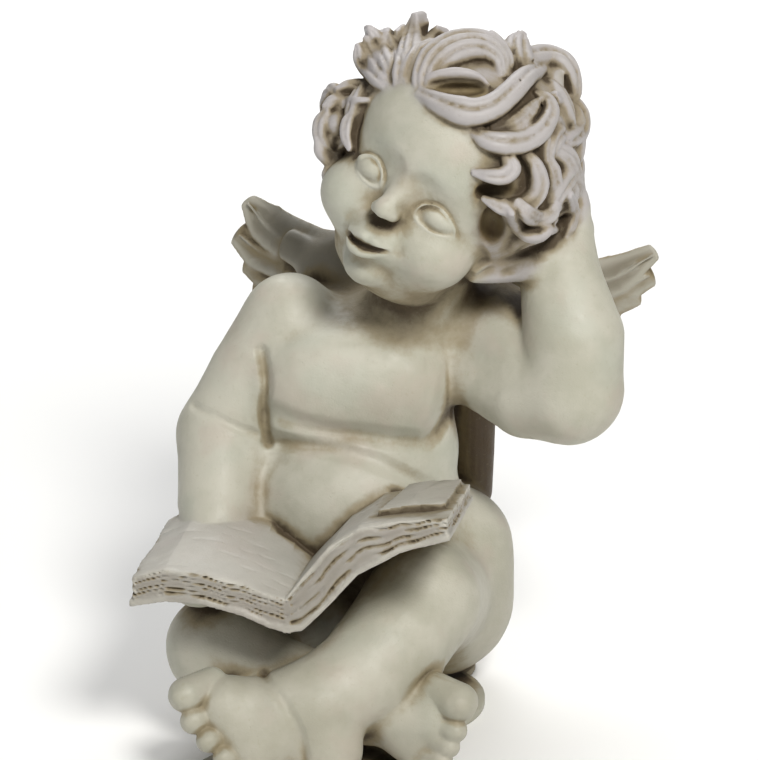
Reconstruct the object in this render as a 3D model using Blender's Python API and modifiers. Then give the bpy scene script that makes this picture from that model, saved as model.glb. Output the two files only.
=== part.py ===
"""A seated cherub cast in stone: ankles crossed, an open book in its lap, its head on its left hand."""

import math

import bmesh
import bpy
from mathutils import Matrix, Vector

# Sizes are in millimetres. X runs to the viewer's right, Y away from the viewer and Z up, from the underside.
MM = 0.001
BASE_HEIGHT = 10
HEAD = Vector((65, 0, 323))
HEAD_TILT = 32
HEAD_TURN = 27
SKULL = Vector((60, 64, 60))
VIEW_ANGLE = 20
BODY_GRAIN = 2.4
FINE_GRAIN = 1.6
KEPT_SHARE = 0.0222

HEAD_AXES = (Matrix.Rotation(math.radians(HEAD_TILT), 3, "Y")
             @ Matrix.Rotation(math.radians(-HEAD_TURN), 3, "Z"))
VIEW_UP = Vector((0, math.sin(math.radians(VIEW_ANGLE)), math.cos(math.radians(VIEW_ANGLE))))
VIEW_IN = Vector((0, math.cos(math.radians(VIEW_ANGLE)), -math.sin(math.radians(VIEW_ANGLE))))

# Locks seen from the front: across and up from the middle of the head, lift off the skull, then radius.
LOCKS = [
    ([(-36, 35, -5), (-45, 45, 3), (-50, 55, 4), (-48, 63, 2)], 6),
    ([(-33, 37, -5), (-39, 48, 4), (-40, 58, 5), (-35, 65, 3)], 5.5),
    ([(-38, 35, -5), (-48, 40, 2), (-56, 42, 2), (-62, 38, 0)], 5),
    ([(-27, 37, -5), (-29, 49, 5), (-27, 61, 6), (-21, 70, 6), (-13, 69, 5)], 7),
    ([(-20, 46, -2), (-12, 53, 5), (0, 57, 8), (12, 56, 8), (22, 50, 7), (28, 42, 5)], 6.5),
    ([(-17, 55, 0), (-6, 62, 6), (8, 64, 7), (20, 60, 6), (28, 52, 5)], 6),
    ([(-10, 66, 0), (4, 67, 3), (16, 66, 3), (26, 62, 2)], 5.5),
    ([(-20, 32, -1), (-18, 40, 5), (-8, 46, 8), (4, 46.5, 8), (14, 42, 7), (20, 35, 4)], 5),
    ([(-8, 32, 0), (0, 25, 5), (10, 22, 7), (20, 26, 8), (27, 35, 8), (30, 46, 6)], 7),
    ([(8, 13, 0), (18, 7, 6), (30, 6, 8), (41, 11, 9), (47, 22, 9), (44, 33, 8), (36, 33, 5)], 7),
    ([(14, 18, 3), (26, 14, 7), (35, 17, 8), (37, 25, 8), (30, 29, 6)], 5.5),
    ([(40, 42, 5), (52, 39, 5), (59, 28, 3), (60, 15, 2), (53, 5, 2), (45, 2, 1)], 7.5),
    ([(30, 2, 4), (40, -3, 8), (45, -14, 9), (41, -25, 8), (31, -31, 7), (20, -29, 5), (12, -22, 2)], 6.6),
    ([(16, 1, 2), (26, -1, 7), (29, -8, 7), (24, -14, 6), (15, -14, 4), (7, -12, 1)], 5.2),
    ([(50, 2, 2), (58, -5, 2), (61, -14, 2), (56, -22, 3), (48, -20, 3)], 5.6),
    ([(22, 50, 5), (24, 59, 6), (32, 62, 5), (38, 57, 5), (38, 50, 4)], 6),
    ([(34, 50, 4), (44, 50, 4), (53, 45, 3), (58, 36, 2), (56, 27, 2)], 6.5),
    ([(-44, 38, -3), (-54, 38, 2), (-63, 34, 2), (-69, 27, 1)], 4.8),
    ([(-46, 32, -2), (-54, 30, 3), (-59, 25, 3), (-56, 20, 1)], 4),
    ([(-64, 31, -2), (-70, 26, -1), (-72, 16, -1), (-69, 8, -2), (-64, 9, -3)], 4.8),
    ([(-50, 23, -1), (-57, 19, 3), (-58, 12, 3), (-53, 9, 1)], 3.8),
    ([(-61, 20, -1), (-66, 14, 0), (-65, 6, 0), (-60, 4, -1)], 4.4),
    ([(-56, 5, 0), (-62, 2, 2), (-64, -5, 1), (-59, -8, 0)], 3.6),
    ([(-66, 1, -1), (-70, -4, -1), (-71, -12, -1), (-68, -17, -2)], 4),
    ([(32, -35, 2), (38, -43, 5), (45, -41, 6), (50, -35, 6), (56, -37, 4), (60, -44, 2)], 4.2),
    ([(2, -58, -10), (8, -53, -6), (18, -51, -3), (28, -52, -3), (34, -56, -4)], 4.4),
]
# Rows of curls over the back of the head: height angle, first and last direction, count and radius.
CURL_ROWS = [(68, 110, 260, 3, 8.5), (46, 100, 282, 6, 8.5), (22, 102, 288, 8, 8.5), (-2, 102, 290, 8, 8.5),
             (-24, 106, 282, 8, 8.5), (-45, 122, 250, 6, 8)]
# Each wing's root and the tips of its feathers, from the top one down.
WINGS = [
    (Vector((-2, 62, 230)), [(-53, 92, 271), (-58, 95, 251), (-53, 97, 234), (-49, 98, 217),
                             (-42, 98, 199), (-32, 96, 181), (-20, 92, 164), (-6, 88, 148)]),
    (Vector((62, 58, 226)), [(177, 72, 247), (175, 76, 233), (168, 79, 221), (157, 81, 207),
                             (143, 83, 189), (122, 84, 170), (92, 82, 146), (78, 80, 122)]),
]
# The book: place along each side from the spine, then the heights of the pages' top and underside.
SPINE = Vector((-27, -118, 0))
SPINE_TURN = math.radians(-9.4)
LEFT_PAGES = [(-85, 122, 119, 106, 103), (-66, 128, 129, 110, 111), (-46, 127, 129, 110, 111),
              (-24, 122, 123, 105, 105), (-10, 118, 115, 99, 97), (2, 115, 105, 97, 87)]
RIGHT_PAGES = [(-2, 115, 105, 97, 87), (8, 129, 117, 99, 92), (22, 147, 133, 114, 104),
               (38, 159, 143, 133, 120), (60, 165, 149, 147, 134), (86, 168, 152, 156, 142)]
PAGE_DEPTH = 90
# The loose leaf on the right pages: first and last place along, then near and far edge, and its thickness.
LEAF = (44, 80, 26, 87, 3.4)


def clear_scene():
    for thing in list(bpy.data.objects):
        bpy.data.objects.remove(thing)


def stone():
    material = bpy.data.materials.new("ivory_cast_stone")
    material.use_nodes = True
    shader = material.node_tree.nodes["Principled BSDF"]
    shader.inputs["Base Color"].default_value = (0.58, 0.54, 0.43, 1)
    shader.inputs["Roughness"].default_value = 0.62
    shader.inputs["Metallic"].default_value = 0
    return material


def head(x, y, z):
    """A point given in the head's own axes, x to its left, y to its back and z to its crown."""
    return HEAD + HEAD_AXES @ Vector((x, y, z))


def on_hair(u, v, lift):
    """The point of the lifted skull that is seen u across and v up from the middle of the head."""
    start = HEAD_AXES.transposed() @ (Vector((1, 0, 0)) * u + VIEW_UP * v)
    way = HEAD_AXES.transposed() @ VIEW_IN
    size = SKULL + Vector((lift, lift, lift))
    p = Vector([a / b for a, b in zip(start, size)])
    d = Vector([a / b for a, b in zip(way, size)])
    middle = -p.dot(d) / d.length_squared
    near = p + d * middle
    gap = near.length_squared
    if gap < 1:
        near = p + d * (middle - math.sqrt((1 - gap) / d.length_squared))
    return HEAD + HEAD_AXES @ Vector([a * b for a, b in zip(near, size)])


def smooth_path(points, steps):
    """Points of a smooth curve through the given ones."""
    p = [Vector(point) for point in points]
    p = [p[0] * 2 - p[1]] + p + [p[-1] * 2 - p[-2]]
    made = []
    for a, b, c, d in zip(p, p[1:], p[2:], p[3:]):
        for i in range(steps):
            t = i / steps
            made.append(0.5 * (2 * b + (c - a) * t + (2 * a - 5 * b + 4 * c - d) * t * t
                               + (3 * b - a - 3 * c + d) * t ** 3))
    return made + [p[-2]]


def spread(values, count):
    """The values read at count even steps."""
    made = []
    for i in range(count):
        place = i / (count - 1) * (len(values) - 1)
        low = min(int(place), len(values) - 2)
        made.append(values[low] + (values[low + 1] - values[low]) * (place - low))
    return made


def ball(clay, centre, radii, turned=False):
    if not hasattr(radii, "__len__"):
        radii = (radii, radii, radii)
    turn = HEAD_AXES.to_4x4() if turned else Matrix.Identity(4)
    place = Matrix.Translation(centre) @ turn @ Matrix.Diagonal((*radii, 1))
    bmesh.ops.create_uvsphere(clay, u_segments=26, v_segments=17, radius=1, matrix=place)


def limb(clay, points, radii):
    """Balls on the points with cones between them."""
    points = [Vector(point) for point in points]
    radii = spread(radii, len(points))
    for point, radius in zip(points, radii):
        ball(clay, point, radius)
    for a, b, ra, rb in zip(points, points[1:], radii, radii[1:]):
        way = b - a
        place = (Matrix.Translation((a + b) / 2)
                 @ way.to_track_quat("Z", "Y").to_matrix().to_4x4())
        bmesh.ops.create_cone(clay, cap_ends=True, segments=22, radius1=ra, radius2=rb, depth=way.length,
                              matrix=place)


def sweep(clay, points, radii, flat=1.0):
    """A curve with a round bevel through the points, its depth along Y divided by flat."""
    curve = bpy.data.curves.new("sweep", "CURVE")
    curve.dimensions = "3D"
    curve.bevel_depth = 1
    curve.bevel_resolution = 3
    curve.use_fill_caps = True
    spline = curve.splines.new("POLY")
    spline.points.add(len(points) - 1)
    for spot, point, radius in zip(spline.points, points, spread(radii, len(points))):
        spot.co = (point.x, point.y * flat, point.z, 1)
        spot.radius = radius
    guide = bpy.data.objects.new("sweep", curve)
    bpy.context.scene.collection.objects.link(guide)
    graph = bpy.context.evaluated_depsgraph_get()
    mesh = bpy.data.meshes.new_from_object(guide.evaluated_get(graph))
    mesh.transform(Matrix.Diagonal((1, 1 / flat, 1, 1)))
    clay.from_mesh(mesh)
    bmesh.ops.remove_doubles(clay, verts=clay.verts, dist=0.001)
    bpy.data.objects.remove(guide)
    bpy.data.meshes.remove(mesh)


def legs(clay):
    ball(clay, (10, 40, 57), (72, 48, 52))
    ball(clay, (12, 28, 92), (62, 46, 46))
    ball(clay, (-30, 38, 46), (40, 42, 40))
    ball(clay, (52, 28, 54), (47, 46, 46))
    limb(clay, [(-30, 10, 54), (-66, -50, 58)], [38, 28])
    limb(clay, [(-66, -50, 58), (-40, -66, 44), (0, -72, 34), (24, -78, 30)], [28, 27, 23, 16])
    limb(clay, [(52, 18, 60), (60, -44, 86)], [44, 33])
    limb(clay, [(60, -44, 86), (40, -64, 74), (14, -84, 58), (-12, -100, 46)], [32, 31, 28, 24])


def feet(clay):
    limb(clay, [(-10, -98, 46), (-32, -104, 44), (-54, -106, 44)], [24, 22, 18])
    ball(clay, (-6, -112, 26), (19, 18, 17))
    ball(clay, (-60, -108, 50), (16, 17, 16))
    ball(clay, (-44, -114, 30), (20, 18, 19))
    limb(clay, [(14, -76, 34), (32, -88, 34), (50, -94, 36)], [18, 18, 16])
    ball(clay, (52, -92, 44), (13, 14, 13))
    ball(clay, (42, -90, 22), (17, 15, 15))
    limb(clay, [(40, -84, 52), (50, -80, 60)], [9, 6])


def toes(clay):
    left = [(-81, -115, 60), (-77, -121, 47.5), (-69, -125, 38), (-60.5, -128, 29.5), (-51, -129, 22)]
    right = [(64, -105, 51), (62, -109, 36), (59, -110, 27), (55, -110, 19), (49, -109, 13)]
    for tips, radii, back in ((left, (9.5, 7, 6.6, 6.3, 6), (13, 13)),
                              (right, (10.5, 6.8, 6.2, 5.8, 5.4), (-12, 13))):
        for i, (tip, radius) in enumerate(zip(tips, radii)):
            tip = Vector(tip)
            limb(clay, [tip + Vector((*back, 1 - i)), tip], [radius * 0.9, radius])


def torso(clay):
    ball(clay, (9, 15, 118), (60, 50, 48))
    ball(clay, (4, -4, 128), (50, 42, 40))
    ball(clay, (18, 18, 150), (56, 43, 40))
    ball(clay, (21, 20, 170), (57, 42, 40))
    ball(clay, (24, 22, 186), (58, 42, 42))
    ball(clay, (-4, 0, 198), (36, 22, 26))
    ball(clay, (42, 0, 192), (36, 22, 27))
    ball(clay, (30, 30, 214), (54, 27, 22))
    limb(clay, [(38, 28, 214), (50, 10, 262)], [27, 25])
    # the folded under side of the wing, which shows beside the waist
    limb(clay, [(64, 62, 214), (75, 66, 176), (74, 62, 106)], [16, 14.5, 13])


def arms(clay):
    limb(clay, [(-28, 27, 221), (-49, 20, 192), (-66, 12, 160)], [27, 24.5, 24.5])
    limb(clay, [(-66, 12, 160), (-68, -16, 130), (-72, -44, 106)], [24.5, 22, 15])
    ball(clay, (-75, -62, 103), (16, 22, 9))
    limb(clay, [(84, 24, 216), (106, 2, 206), (127, -18, 196)], [29, 28, 26.5])
    limb(clay, [(127, -18, 198), (127, -14, 226), (118.5, -2, 264)], [27.5, 28, 21])
    limb(clay, [(119, -2, 264), (120, 8, 286), (116, 14, 306)], [21, 19, 15])


def head_mass(clay):
    ball(clay, head(0, 2, 2), SKULL, True)
    ball(clay, head(0, -22, 10), (45, 38, 38), True)
    ball(clay, head(0, -14, -52), (38, 32, 26), True)
    for side in (-1, 1):
        ball(clay, head(25 * side - 1, -31, -42), (22, 22, 21), True)
    ball(clay, head(-1.5, -36, -56), (20, 21, 17), True)
    ball(clay, head(-1.5, -35, -68), (14, 13, 12), True)
    ball(clay, head(0, -8, -70), (31, 25, 16), True)
    limb(clay, [head(0, -50, -14), head(-0.5, -57, -24), head(-1, -65, -32)], [5, 5.4, 6])


def face(clay):
    ball(clay, head(-1.2, -66, -33.5), (6.4, 6.2, 5.8), True)
    for side in (-1, 1):
        ball(clay, head(6.6 * side - 1.2, -59.5, -36), (4.4, 5.8, 4.2), True)
        ball(clay, head(20.8 * side, -42, -22.4), (10.6, 10.2, 8.2), True)
        upper = [(9.6, -48, -25.4), (13.6, -52, -19), (20.5, -53.8, -15.2), (27.4, -51, -17.6),
                 (33, -43.6, -25.4)]
        lower = [(10, -48, -25.6), (15, -50.4, -29), (21, -51, -30.4), (27.4, -48.4, -29),
                 (32.4, -43.6, -25.6)]
        for lid, radii in ((upper, [1.6, 2.2, 1.8]), (lower, [1.2, 1.5, 1.2])):
            sweep(clay, smooth_path([head(x * side, y, z) for x, y, z in lid], 3), radii)
    lips = [(-15.5, -50, -54.4), (-10, -55.4, -54.6), (-5, -58, -53.6), (-2, -57.6, -54.4), (1, -58, -53.6),
            (6, -55.4, -54.6), (11.5, -50, -54.4)]
    sweep(clay, smooth_path([head(*point) for point in lips], 2), [2.2, 3.2, 3.4, 3.2, 2.2])
    lips = [(-12, -51, -60), (-7, -54.8, -63.4), (-2, -55.8, -64.6), (3, -54.8, -63.4), (8, -51, -60)]
    sweep(clay, smooth_path([head(*point) for point in lips], 2), [2.2, 3.7, 4, 3.7, 2.2])


def sockets(clay):
    """What is taken out of the face: the hollows that the eyes lie in."""
    for side in (-1, 1):
        ball(clay, head(20.5 * side, -59, -21), (13, 9, 8.5), True)


def curl(lon, lat, heading, length, bend, size, steps=9, lift=4):
    """A comma of hair that starts at lon and lat on the skull and rolls up as it goes."""
    a = math.radians(lon)
    b = math.radians(lat)
    here = Vector((math.sin(a) * math.cos(b), -math.cos(a) * math.cos(b), math.sin(b)))
    east = Vector((math.cos(a), math.sin(a), 0))
    way = Matrix.Rotation(math.radians(heading), 3, here) @ east
    path = []
    for i in range(steps + 1):
        t = i / steps
        rise = lift * math.sin(math.pi * min(1, t * 1.1))
        path.append(head(*[h * (s + rise) for h, s in zip(here, size)]))
        here = (here + way * (length / steps / 66)).normalized()
        way = (way - here * way.dot(here)).normalized()
        way = Matrix.Rotation(math.radians(bend / steps * (0.4 + 1.2 * t)), 3, here) @ way
    return path


def hair(clay):
    for points, radius in LOCKS:
        path = smooth_path([on_hair(u, v, lift) for u, v, lift in points], 3)
        sweep(clay, path, [radius * share for share in (0.8, 1.1, 1.1, 0.9, 0.4)])
    for row, (lat, start, end, count, radius) in enumerate(CURL_ROWS):
        for i in range(count):
            lon = start + (end - start) * (i + 0.25 + 0.5 * (row % 2)) / count
            turn = 1 if (i + row) % 2 else -1
            path = curl(lon, lat, 90 + 70 * turn, 50, 260 * turn, Vector((58, 62, 58)))
            sweep(clay, path, [radius * share for share in (0.6, 1, 1, 0.8, 0.35)])


def hair_mass(clay):
    """The cap behind the hairline that the curls lie on."""
    ball(clay, head(0, 16, 8), (60, 52, 58), True)
    ball(clay, head(0, 22, -12), (56, 44, 48), True)


def wings(clay):
    for root, tips in WINGS:
        for i, tip in enumerate(tips):
            tip = Vector(tip)
            base = root + Vector((0, 0.9 * i, 16 - 7 * i))
            way = tip - base
            sag = Vector((0, 7, -0.14 * way.length * max(0, 1 - i / 5)))
            path = smooth_path([base, base + way * 0.4 + sag * 0.8, base + way * 0.75 + sag, tip], 3)
            sweep(clay, path, [11, 12, 11, 10, 4 if i == 0 else 7], flat=2.4)
        ball(clay, root, (20, 13, 27))
    ball(clay, (30, 54, 204), (42, 18, 42))


def between(rows, along, column):
    for low, high in zip(rows, rows[1:]):
        if along <= high[0]:
            share = (along - low[0]) / (high[0] - low[0])
            return low[column] + (high[column] - low[column]) * share
    return rows[-1][column]


def pages(clay, rows):
    """One side of the open book, between the heights in rows."""
    slab(clay, rows, (rows[0][0], rows[-1][0]), (0, PAGE_DEPTH), None)


def leaf(clay):
    start, end, near, far, thick = LEAF
    slab(clay, RIGHT_PAGES, (start, end), (near, far), thick)


def slab(clay, rows, along_range, deep_range, thick):
    """A subdivided block bent to the pages: their whole depth, or a sheet of the thickness on their top."""
    block = bmesh.new()
    bmesh.ops.create_cube(block, size=1)
    bmesh.ops.subdivide_edges(block, edges=block.edges, cuts=13, use_grid_fill=True)
    turn = Matrix.Rotation(SPINE_TURN, 3, "Z")
    for vert in block.verts:
        along = along_range[0] + (along_range[1] - along_range[0]) * (vert.co.x + 0.5)
        deep = deep_range[0] + (deep_range[1] - deep_range[0]) * (vert.co.y + 0.5)
        share = deep / PAGE_DEPTH
        top = between(rows, along, 1) * (1 - share) + between(rows, along, 2) * share
        low = between(rows, along, 3) * (1 - share) + between(rows, along, 4) * share
        if thick is not None:
            low = top - thick
            top = top + thick
        height = low + (top - low) * (vert.co.z + 0.5)
        vert.co = SPINE + turn @ Vector((along, deep, 0)) + Vector((0, 0, height))
    mesh = bpy.data.meshes.new("slab")
    block.to_mesh(mesh)
    block.free()
    clay.from_mesh(mesh)
    bpy.data.meshes.remove(mesh)


def base(clay):
    for (x, y), (rx, ry) in [((4, 46), (74, 42)), ((-38, -30), (44, 52)), ((38, 0), (44, 46)),
                             ((-42, -92), (36, 26)), ((32, -76), (30, 27))]:
        place = Matrix.Translation((x, y, (BASE_HEIGHT - 6) / 2)) @ Matrix.Diagonal((rx, ry, 1, 1))
        bmesh.ops.create_cone(clay, cap_ends=True, segments=48, radius1=1, radius2=1, depth=BASE_HEIGHT + 6,
                              matrix=place)


def clay_object(name, collection, makers, start=None):
    """One mesh object holding everything that the makers add, in metres."""
    clay = bmesh.new()
    if start is not None:
        clay.from_mesh(start)
        bmesh.ops.scale(clay, vec=(1 / MM, 1 / MM, 1 / MM), verts=clay.verts)
    for maker in makers:
        maker(clay)
    bmesh.ops.scale(clay, vec=(MM, MM, MM), verts=clay.verts)
    mesh = bpy.data.meshes.new(name)
    clay.to_mesh(mesh)
    clay.free()
    made = bpy.data.objects.new(name, mesh)
    collection.objects.link(made)
    return made


def remesh(thing, grain, rounds):
    voxel = thing.modifiers.new("Voxels", "REMESH")
    voxel.mode = "VOXEL"
    voxel.voxel_size = grain * MM
    soft = thing.modifiers.new("Soften", "SMOOTH")
    soft.factor = 0.5
    soft.iterations = rounds


def cutter(thing):
    thing.hide_render = True
    thing.display_type = "WIRE"
    return thing


def main():
    clear_scene()
    parts = bpy.data.collections.new("stone_cherub_statue")
    cutters = bpy.data.collections.new("cutters")
    for group in (parts, cutters):
        bpy.context.scene.collection.children.link(group)

    figure = clay_object("figure_mass", cutters, (legs, feet, torso, arms, head_mass))
    remesh(figure, BODY_GRAIN, 14)
    hollow = cutter(clay_object("eye_hollows", cutters, (sockets,)))
    cut = figure.modifiers.new("Eye hollows", "BOOLEAN")
    cut.operation = "DIFFERENCE"
    cut.object = hollow
    graph = bpy.context.evaluated_depsgraph_get()
    smoothed = bpy.data.meshes.new_from_object(figure.evaluated_get(graph))
    bpy.data.objects.remove(figure)

    statue = clay_object("cherub_statue", parts,
                         (toes, face, hair_mass, hair, wings, lambda c: pages(c, LEFT_PAGES),
                          lambda c: pages(c, RIGHT_PAGES), leaf, base), smoothed)
    remesh(statue, FINE_GRAIN, 3)
    fewer = statue.modifiers.new("Facets", "DECIMATE")
    fewer.ratio = KEPT_SHARE
    ground = cutter(clay_object("ground", cutters, (lambda c: bmesh.ops.create_cube(
        c, size=1, matrix=Matrix.Translation((0, 0, -50)) @ Matrix.Diagonal((400, 400, 100, 1))),)))
    flat = statue.modifiers.new("Flat underside", "BOOLEAN")
    flat.operation = "DIFFERENCE"
    flat.object = ground
    statue.data.materials.append(stone())


main()
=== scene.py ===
"""The seated cherub in cast stone: the carved figure and its patina, the floor, light and camera."""
import math

import bmesh
import bpy
import numpy as np
import openvdb
from mathutils import Matrix, Vector


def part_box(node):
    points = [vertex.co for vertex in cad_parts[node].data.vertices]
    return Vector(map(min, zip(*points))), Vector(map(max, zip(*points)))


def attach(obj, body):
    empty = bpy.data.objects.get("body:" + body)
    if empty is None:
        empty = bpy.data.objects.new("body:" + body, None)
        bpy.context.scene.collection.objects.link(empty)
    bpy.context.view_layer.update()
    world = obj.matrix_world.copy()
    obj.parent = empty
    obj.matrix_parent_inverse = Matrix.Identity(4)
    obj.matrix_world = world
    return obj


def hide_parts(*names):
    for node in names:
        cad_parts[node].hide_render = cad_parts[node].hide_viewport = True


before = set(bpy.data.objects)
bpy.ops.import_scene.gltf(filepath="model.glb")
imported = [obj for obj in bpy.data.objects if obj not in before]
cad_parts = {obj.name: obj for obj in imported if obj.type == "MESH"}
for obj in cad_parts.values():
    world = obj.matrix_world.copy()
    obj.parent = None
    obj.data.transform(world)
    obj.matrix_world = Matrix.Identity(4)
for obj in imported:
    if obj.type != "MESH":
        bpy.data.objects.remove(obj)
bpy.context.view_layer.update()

# Places are in millimetres. X runs to the viewer's right, Y away from the viewer and Z up.
MM = 0.001
# The clay's grid: how far from the surface it is measured, its step, and its room round the solid.
FAR = 24.0
GRAIN = 0.85
ROOM = 9
# The base's height, and the middle and half size of each oval that its outline joins.
BASE_HEIGHT = 10
BASE_ROUNDS = [((4, 46), (74, 42)), ((-38, -30), (44, 52)), ((38, 0), (44, 46)), ((-42, -92), (36, 26)),
               ((32, -76), (30, 27))]
# The head: its middle, how far it tilts and turns, and half the size of the skull and of its back.
HEAD = Vector((65, 0, 323))
HEAD_TILT = 32
HEAD_TURN = 27
SKULL = Vector((60, 64, 60))
BACK_OF_HEAD = Vector((58, 62, 58))
VIEW_ANGLE = 20
HEAD_AXES = (Matrix.Rotation(math.radians(HEAD_TILT), 3, "Y")
             @ Matrix.Rotation(math.radians(-HEAD_TURN), 3, "Z"))
VIEW_UP = Vector((0, math.sin(math.radians(VIEW_ANGLE)), math.cos(math.radians(VIEW_ANGLE))))
VIEW_IN = Vector((0, math.cos(math.radians(VIEW_ANGLE)), -math.sin(math.radians(VIEW_ANGLE))))
# The kinds of surface, which the stone's colours tell apart; the last is painted dark as shade.
SKIN, WING, BOOK, HAIR, PAINTED_SHADE = range(5)

# Locks as they are seen in the picture: across and up from the middle of the head, and the lift off the
# skull; then half the lock's width and its number of strands.
LOCKS = [
    ([(-18.5, 36, -1), (-17.5, 44, 3), (-12.5, 52.5, 6), (-4, 59, 8), (6, 61.5, 9), (16, 59.5, 8),
      (22.5, 53.5, 6), (24, 46, 3)], 11, 4),
    ([(23, 48.5, 2), (22, 56, 6), (20, 62.5, 6), (17, 67.5, 4)], 5, 2),
    ([(33, 47, 3), (31.5, 54, 7), (31.5, 61, 9), (33, 66, 8)], 9, 3),
    ([(-17.5, 35.5, -1), (-16, 41.5, 3), (-10.5, 44.5, 5), (0, 45.5, 6), (9.5, 43.5, 5), (15.5, 38.5, 3)],
     3.2, 1),
    ([(26, 50.5, 4), (35, 53.5, 6), (46.5, 55.5, 7), (55.5, 52.5, 6), (60.5, 45, 4), (62, 35.5, 3),
      (59, 28, 2)], 6.6, 2),
    ([(-19.5, 33.5, 1), (-12.5, 30, 4), (-2.5, 26.5, 7), (7.5, 24.5, 8), (18.5, 28, 9), (27.5, 35.5, 9),
      (36, 44, 8), (45.5, 49.5, 6), (53.5, 51.5, 3)], 7.6, 2),
    ([(19.5, 15, 3), (28.5, 17.5, 5), (36.5, 24, 5), (42, 30.5, 4)], 6, 3),
    ([(8, 14.5, 2), (14.5, 10, 6), (24, 8, 8), (35, 9, 8), (44, 15, 8), (49, 23.5, 7), (47.5, 31, 6),
      (41.5, 35, 4)], 6.4, 2),
    ([(51.5, 32, 4), (59, 29, 5), (64.5, 22.5, 4), (64.5, 15, 3), (59, 9.5, 3), (51, 6.5, 3)], 7, 2),
    ([(50, 4.5, 3), (57, 0, 4), (61, -7.5, 4), (62.5, -16, 3), (59, -23.5, 2)], 7, 3),
    ([(46.5, 0, 3), (49.5, -8.5, 4), (51, -17, 3), (49.5, -24.5, 2)], 5.5, 2),
    ([(25, 2, 5), (27.5, -5, 7), (24, -9.5, 7), (16.5, -10, 6), (8, -8, 2)], 5.4, 2),
    ([(34.5, 2.5, 5), (40.5, -4, 8), (43, -13.5, 9), (40.5, -21.5, 9), (33.5, -26.5, 9), (24.5, -27.5, 8),
      (17.5, -24.5, 6), (13, -22, 3)], 5.2, 2),
    ([(-34, 45, 2), (-35.5, 53.5, 4), (-37.5, 61, 4), (-39.5, 66.5, 3)], 5.2, 2),
    ([(-37, 37, -1), (-43.5, 42.5, 4), (-50, 48.5, 6), (-54, 54, 5), (-55, 59.5, 3)], 5.4, 2),
    ([(-36.5, 38.5, 0), (-42, 47.5, 5), (-47.5, 56, 7), (-50.5, 63.5, 6)], 5, 2),
    ([(-36, 42, 1), (-38.5, 50, 6), (-42.5, 58.5, 8), (-45.5, 65.5, 7), (-48.5, 69.5, 4)], 4.8, 2),
    ([(-33, 37, -1), (-32, 45, 4), (-31, 52.5, 6), (-33, 60, 5), (-34, 67, 4)], 5, 2),
    ([(-28, 48.5, 3), (-27.5, 57, 6), (-26, 66, 8), (-24.5, 75.5, 6)], 7, 3),
    ([(-26.5, 37.5, -1), (-27.5, 45, 3), (-25, 52.5, 6), (-22, 58, 6), (-17, 63.5, 5), (-13, 68.5, 3)],
     5, 2),
    ([(-19.5, 58, 3), (-16, 64.5, 4), (-12.5, 70, 3)], 4, 2),
    ([(-47.5, 36.5, 1), (-53.5, 38.5, 4), (-60, 39, 5), (-65.5, 37.5, 3)], 4.6, 2),
    ([(-49.5, 31, 1), (-56, 30.5, 5), (-61, 32, 6), (-66, 36, 4)], 2.6, 1),
    ([(-58, 24.5, 0), (-63.5, 27.5, 4), (-68, 29.5, 5), (-71.5, 27, 3), (-71, 21.5, 1)], 4.4, 2),
    ([(-58, 18.5, 1), (-60.5, 14.5, 4), (-60, 10, 3)], 2.8, 1),
    ([(-72, 24.5, 1), (-75, 19.5, 3), (-75.5, 12, 4), (-72, 5.5, 5), (-66.5, 1, 4)], 5, 2),
    ([(-76.5, 9.5, 0), (-75, 3, 2), (-71, -2.5, 2), (-67.5, -7.5, 1)], 3.5, 1),
    ([(-64.5, -1, 0), (-68.5, -4.5, 2), (-72, -9.5, 2), (-70, -16, 1)], 3.4, 1),
    ([(-60, 10, 2), (-65, 6, 4), (-66, -1, 4), (-63, -8, 2)], 4.4, 2),
    ([(-66, 19, 2), (-69.5, 12, 5), (-69, 4.5, 5)], 3.8, 2),
    ([(-62, 31, 1), (-68, 31, 3), (-73, 28, 3)], 3.6, 1),
    ([(-57, 25, 3), (-60.5, 19, 5), (-61.5, 12, 5), (-59.5, 5, 3)], 4.2, 2),
]
# Hollows between the locks, seen the same way, each with how wide, high and deep it is.
HAIR_HOLLOWS = [((0, 37, 2), (13, 4, 9)), ((20, -18, 2), (11, 5, 8)), ((-47, 39, 0), (9, 4, 6)),
                ((-57, 21, 2), (5, 6, 7)), ((55, 40, 3), (7, 6, 6)), ((56, -23, 2), (6, 4, 6)),
                ((18, -37, 0), (7, 14, 12))]
LOCK_DEPTH = 9
# The curl over the temple, which the picture doesn't show: its places, half width and strands.
TEMPLE_LOCK = ([(2, 2, 352), (-4, 12, 357), (-7, 22, 350), (-7, 26, 338), (-7, 20, 328), (-8, 11, 330),
                (-8, 9, 338), (-8, 14, 343)], 6, 3)
# Locks beside the cheek and over the wrist: across and up, the lift, half the width and the strands.
WRIST_LOCKS = [
    ([(29, -28, 1), (34, -33, 3), (40, -35, 5), (46, -33, 5), (50, -29, 4), (54, -27, 2)], 5.2, 3),
    ([(25, -33, 1), (29, -39, 3), (35, -43.5, 4), (41, -43.5, 4), (46, -40, 4), (51, -38.5, 3),
      (55.5, -35, 1)], 4, 1),
    ([(57, -22, 1), (60.5, -28, 3), (60, -36, 3), (57, -42, 1)], 4.8, 2),
]
# Fillings behind the outer curls, seen the same way, each with its radius.
HAIR_FILLINGS = [((49, 40, -3), 10), ((58, 20, -3), 8), ((-64, 18, -4), 8)]
# The recesses painted dark as shade, beside the neck and beside the cheek, each with its size.
DARK_RECESSES = [((78, 24, 244), (26, 26, 15)), ((86, -10, 286), (11, 22, 14))]
# Rows of curls over the back of the head: height angle, first and last direction, count and half width.
CURL_ROWS = [(70, 90, 270, 4, 8.6), (48, 70, 284, 8, 8.6), (24, 76, 284, 10, 8.6), (-1, 82, 286, 10, 8.6),
             (-24, 92, 282, 9, 8.6), (-45, 122, 250, 6, 7.8)]
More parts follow.
